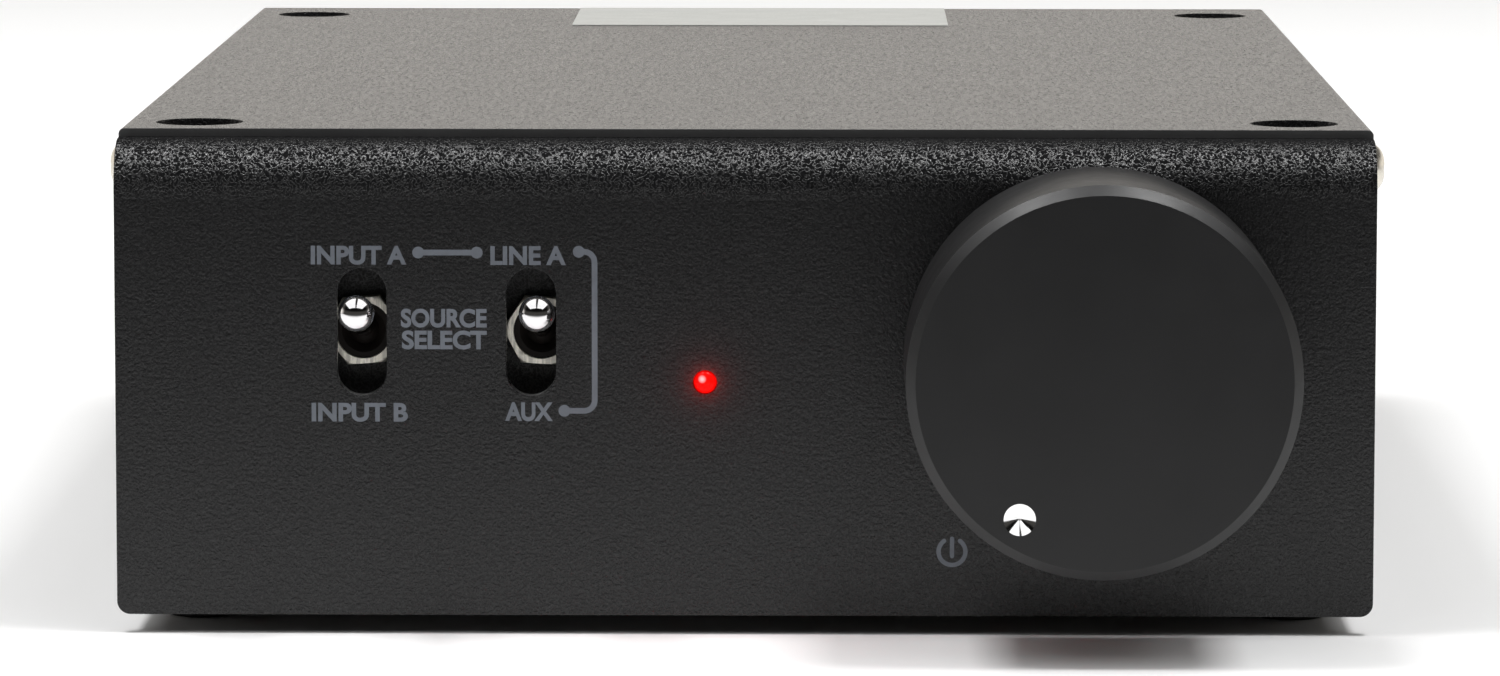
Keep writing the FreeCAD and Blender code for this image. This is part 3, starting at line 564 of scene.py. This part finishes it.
def word(name, text, x0, x1, z_low, height):
    """One printed word, fitted between x0 and x1 and to its height, in mm on the face."""
    curve = bpy.data.curves.new(name, "FONT")
    curve.body = text
    curve.size = 1.0
    curve.offset = 0.038
    curve.extrude = 0.004
    curve.resolution_u = 6
    maker = bpy.data.objects.new(name + ".text", curve)
    bpy.context.scene.collection.objects.link(maker)
    bpy.context.view_layer.update()
    mesh = bpy.data.meshes.new_from_object(maker)
    bpy.data.objects.remove(maker)
    xs = [v.co.x for v in mesh.vertices]
    ys = [v.co.y for v in mesh.vertices]
    low_x, low_y = min(xs), min(ys)
    wide, tall = max(xs) - low_x, max(ys) - low_y
    for vertex in mesh.vertices:
        x = x0 + (vertex.co.x - low_x) / wide * (x1 - x0)
        z = z_low + (vertex.co.y - low_y) / tall * height
        vertex.co = on_face(x, z, INK_MM if vertex.co.z > 0 else -INK_MM)
    bm = bmesh.new()
    bm.from_mesh(mesh)
    bpy.data.meshes.remove(mesh)
    bmesh.ops.remove_doubles(bm, verts=bm.verts, dist=1e-7)
    return add_mesh(name, bm, ink, "case", smooth=False)


def legends():
    word("legend_top_left", "INPUT A", -45.4, -35.4, 37.0, 2.0)
    word("legend_bottom_left", "INPUT B", -45.4, -35.3, 20.45, 2.0)
    word("legend_top_right", "LINE A", -26.6, -18.7, 37.0, 2.0)
    word("legend_bottom_right", "AUX", -25.1, -20.1, 20.55, 2.0)
    word("legend_middle_high", "SOURCE", -36.0, -27.0, 30.4, 2.0)
    word("legend_middle_low", "SELECT", -35.9, -27.0, 28.1, 2.0)
    printed("legend_link", [lollipop_line(-34.15, -28.03, 38.3, 0.6, 0.62)])
    printed("legend_bracket", [bracket_line(-17.36, 38.41, -15.71, 21.66, -18.89, 0.6, 0.62, 1.1)])
    printed("legend_power", power_symbol(21.78, 6.85, 1.64, 0.46, 36))


# ---- studio -------------------------------------------------------------------------------------
ROOM_LIGHT = 0.06
BACKDROP_LIGHT = 1.2
PANEL_RADIANCE = 1.3
CORE_RADIANCE = 24.0
LAMP_GLOW_WATTS = 0.0018


def add_floor():
    """Pale floor. It darkens in front, to keep the face and the chrome dark, and glows far behind."""
    bm = bmesh.new()
    bmesh.ops.create_grid(bm, x_segments=24, y_segments=24, size=7.0)
    mesh = bpy.data.meshes.new("floor")
    bm.to_mesh(mesh)
    bm.free()
    n = Nodes("floor_white")
    cloud = n.noise(400.0, detail=2)
    split = n.add("ShaderNodeSeparateXYZ")
    n.link(n.place, split.inputs["Vector"])
    reach = n.spread(split.outputs["Y"], 0.05, 0.9, face_y - 0.22, face_y - 0.09)
    tone = n.math("ADD", reach, n.spread(cloud, 0.005, 0.02))
    n.link(n.spread(split.outputs["Y"], 0.0, 0.5, rear_y, rear_y + 0.5), n.bsdf.inputs["Emission Strength"])
    n.bsdf.inputs["Emission Color"].default_value = (1, 1, 1, 1)
    mesh.materials.append(n.surface(tone, n.spread(cloud, 0.6, 0.7), None))
    floor = bpy.data.objects.new("floor", mesh)
    bpy.context.scene.collection.objects.link(floor)


def overhead_panel(name, place, wide, deep, radiance):
    """Level light panel that shines straight down."""
    data = bpy.data.lights.new(name, "AREA")
    data.shape = "RECTANGLE"
    data.size = wide
    data.size_y = deep
    data.energy = radiance * math.pi * wide * deep
    light = bpy.data.objects.new(name, data)
    light.location = place
    bpy.context.scene.collection.objects.link(light)


def add_world():
    """Bright backdrop low down behind the object, dark room on the user's side."""
    world = bpy.data.worlds.new("studio")
    world.use_nodes = True
    tree = world.node_tree
    background = tree.nodes["Background"]

    def ranged(source, start, end, low, high):
        node = tree.nodes.new("ShaderNodeMapRange")
        node.interpolation_type = "SMOOTHSTEP"
        for key, value in (("From Min", start), ("From Max", end), ("To Min", low), ("To Max", high)):
            node.inputs[key].default_value = value
        tree.links.new(source, node.inputs["Value"])
        return node.outputs["Result"]

    def joined(operation, a, b):
        node = tree.nodes.new("ShaderNodeMath")
        node.operation = operation
        tree.links.new(a, node.inputs[0])
        tree.links.new(b, node.inputs[1])
        return node.outputs["Value"]

    place = tree.nodes.new("ShaderNodeTexCoord")
    split = tree.nodes.new("ShaderNodeSeparateXYZ")
    tree.links.new(place.outputs["Generated"], split.inputs["Vector"])
    behind = ranged(split.outputs["Y"], -0.25, 0.35, ROOM_LIGHT, BACKDROP_LIGHT)
    low_down = ranged(split.outputs["Z"], 0.15, 0.40, 1.0, 0.08)
    tree.links.new(joined("MULTIPLY", behind, low_down), background.inputs["Strength"])
    background.inputs["Color"].default_value = (1.0, 0.955, 0.895, 1)
    bpy.context.scene.world = world


def add_light():
    """A wide dim panel with a small bright core on each side, and the indicator's red glow."""
    for side, name in ((-1, "left"), (1, "right")):
        overhead_panel("panel_" + name, (side * 0.62, -0.42, 1.0), 1.08, 1.55, PANEL_RADIANCE)
        overhead_panel("core_" + name, (side * 0.34, -0.15, 0.98), 0.24, 0.30, CORE_RADIANCE)
    low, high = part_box("light_pipe")
    data = bpy.data.lights.new("lamp_glow", "POINT")
    data.color = (1.0, 0.01, 0.005)
    data.energy = LAMP_GLOW_WATTS
    data.shadow_soft_size = 0.0006
    glow = bpy.data.objects.new("lamp_glow", data)
    glow.location = Vector(((low.x + high.x) / 2, face_y - 1.0 * MM, (low.z + high.z) / 2))
    glow.visible_camera = False
    glow.visible_glossy = False
    bpy.context.scene.collection.objects.link(glow)
    bpy.context.scene.view_settings.view_transform = "Standard"


add_camera()
add_floor()
add_world()
add_light()
dress_cad_nodes()
outer_pieces()
legends()
